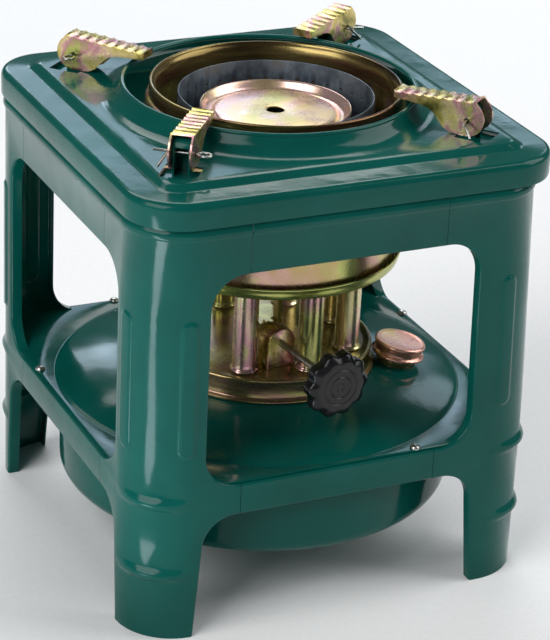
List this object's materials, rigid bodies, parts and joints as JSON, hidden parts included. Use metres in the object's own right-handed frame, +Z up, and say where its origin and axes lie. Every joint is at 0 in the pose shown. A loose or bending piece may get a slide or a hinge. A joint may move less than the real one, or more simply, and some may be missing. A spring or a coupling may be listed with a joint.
{
  "type": "wick camping stove",
  "caption": "Square green wick-fed paraffin camping stove: raised top plate with hinged pot rests, burner rings and drum, and a round tank slung between four pressed legs.",
  "frame": {"origin": "on the ground under the centre of the square top plate", "axes": "+Z up, -Y towards the front face that carries the control knob, +X towards the filler cap"},
  "size_m": [0.24, 0.24, 0.2726],
  "materials": {
    "green_enamel": "gloss dark green stove enamel",
    "passivated_zinc": "yellow iridescent passivated zinc plate",
    "heat_blued_steel": "dark blue-grey steel",
    "bright_steel": "bright drawn steel wire",
    "knob_plastic": "satin black moulded plastic",
    "wick_cotton": "woven cotton",
    "seal_rubber": "black rubber"
  },
  "bodies": {
    "stand": {"top_plate": "green_enamel", "leg_front_right": "green_enamel", "leg_back_right": "green_enamel", "leg_back_left": "green_enamel", "leg_front_left": "green_enamel", "upper_rail_front": "green_enamel", "lower_rail_front": "green_enamel", "tray_rivet_front": "bright_steel", "upper_rail_right": "green_enamel", "lower_rail_right": "green_enamel", "tray_rivet_right": "bright_steel", "upper_rail_back": "green_enamel", "lower_rail_back": "green_enamel", "tray_rivet_back": "bright_steel", "upper_rail_left": "green_enamel", "lower_rail_left": "green_enamel", "tray_rivet_left": "bright_steel", "tank_top": "green_enamel", "tank_bowl": "green_enamel", "filler_neck": "passivated_zinc", "burner_pan": "passivated_zinc", "wick_tube_1": "passivated_zinc", "wick_tube_2": "passivated_zinc", "wick_tube_3": "passivated_zinc", "wick_tube_4": "passivated_zinc", "wick_tube_5": "passivated_zinc", "wick_tube_6": "passivated_zinc", "wick_tube_7": "passivated_zinc", "wick_tube_8": "passivated_zinc", "spindle_bracket": "passivated_zinc", "cotter_pin_back_right": "bright_steel", "cotter_pin_back_left": "bright_steel", "cotter_pin_front_left": "bright_steel", "cotter_pin_front_right": "bright_steel"},
    "knob_shaft": {"spindle": "bright_steel", "pinion": "passivated_zinc", "knob": "knob_plastic"},
    "wick_set": {"wick_carrier": "passivated_zinc", "wick_1": "wick_cotton", "wick_2": "wick_cotton", "wick_3": "wick_cotton", "wick_4": "wick_cotton", "wick_5": "wick_cotton", "wick_6": "wick_cotton", "wick_7": "wick_cotton", "wick_8": "wick_cotton"},
    "burner_head": {"gallery_dish": "passivated_zinc", "outer_drum": "passivated_zinc", "outer_flame_ring": "heat_blued_steel", "inner_flame_ring": "heat_blued_steel", "centre_cup": "passivated_zinc"},
    "cap": {"filler_cap": "passivated_zinc", "cap_seal": "seal_rubber"},
    "rest_back_right": {"pot_rest_back_right": "passivated_zinc"},
    "rest_back_left": {"pot_rest_back_left": "passivated_zinc"},
    "rest_front_left": {"pot_rest_front_left": "passivated_zinc"},
    "rest_front_right": {"pot_rest_front_right": "passivated_zinc"}
  },
  "joints": [
    {"name": "rest_fold_back_right", "type": "hinge", "parent": "stand", "child": "rest_back_right", "pos_m": [0.08026, 0.08026, 0.261], "axis": [-0.5736, 0.8192, 0], "range_deg": [0, 120]},
    {"name": "rest_fold_back_left", "type": "hinge", "parent": "stand", "child": "rest_back_left", "pos_m": [-0.08026, 0.08026, 0.261], "axis": [-0.7431, -0.6691, 0], "range_deg": [0, 120]},
    {"name": "rest_fold_front_left", "type": "hinge", "parent": "stand", "child": "rest_front_left", "pos_m": [-0.08415, -0.08061, 0.261], "axis": [0.809, -0.5878, 0], "range_deg": [0, 120]},
    {"name": "rest_fold_front_right", "type": "hinge", "parent": "stand", "child": "rest_front_right", "pos_m": [0.08026, -0.08026, 0.261], "axis": [0.7986, 0.6018, 0], "range_deg": [0, 120]},
    {"name": "knob_turn", "type": "hinge", "parent": "stand", "child": "knob_shaft", "pos_m": [-0.0104, -0.00313, 0.126], "axis": [0.1167, -0.9932, 0], "range_deg": [0, 114.6]},
    {"name": "wick_lift", "type": "slide", "parent": "stand", "child": "wick_set", "axis": [0, 0, 1], "range_m": [0, 0.01]},
    {"name": "head_lift", "type": "slide", "parent": "stand", "child": "burner_head", "axis": [0, 0, 1], "range_m": [0, 0.0024]},
    {"name": "cap_off", "type": "slide", "parent": "stand", "child": "cap", "axis": [0.1631, -0.0596, 0.9848], "range_m": [0, 0.02]}
  ],
  "couplings": [
    {"joint": "knob_turn", "follows": "wick_lift", "rad_per_m": 200}
  ]
}
